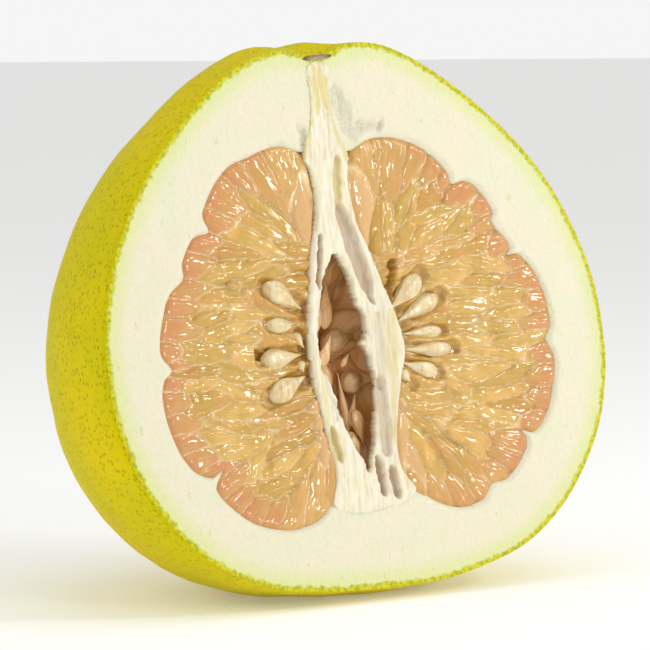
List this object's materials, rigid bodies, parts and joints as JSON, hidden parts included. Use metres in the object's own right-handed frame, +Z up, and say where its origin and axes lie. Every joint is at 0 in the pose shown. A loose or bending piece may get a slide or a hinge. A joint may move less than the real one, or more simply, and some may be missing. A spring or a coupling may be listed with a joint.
{
  "type": "half pomelo",
  "caption": "Half of a ripe pomelo cut from stem to blossom end: thick pithy rind, two opened flesh segments with seeds and a hollow core, standing on a small flat spot.",
  "frame": {"origin": "middle of the flat resting spot under the rind, on the surface the fruit stands on", "axes": "+X across the cut face to the right as seen from the front, +Y from the cut face into the fruit, +Z up; the cut face leans back 8 degrees towards +Y"},
  "size_m": [0.1721, 0.0969, 0.151],
  "materials": {
    "rind": "waxy yellow rind with darker oil glands outside, spongy cream pith on the cut face and inside",
    "pith": "matt cream white, fibrous and slightly ragged",
    "flesh": "wet translucent juice sacs, amber to salmon",
    "seed": "satin cream seed coat with fine ridges",
    "scar": "dry dark brown calyx scar"
  },
  "bodies": {
    "root": {"peel": "rind", "core_column": "pith", "stem_button": "scar", "left_segment": "flesh", "right_segment": "flesh", "rear_flesh": "flesh", "seed_left_1": "seed", "seed_left_2": "seed", "seed_left_3": "seed", "seed_left_4": "seed", "seed_left_5": "seed", "seed_left_6": "seed", "seed_right_1": "seed", "seed_right_2": "seed", "seed_right_3": "seed", "seed_right_4": "seed", "seed_right_5": "seed", "seed_right_6": "seed", "seed_hollow_1": "seed", "seed_hollow_2": "seed"}
  },
  "joints": []
}
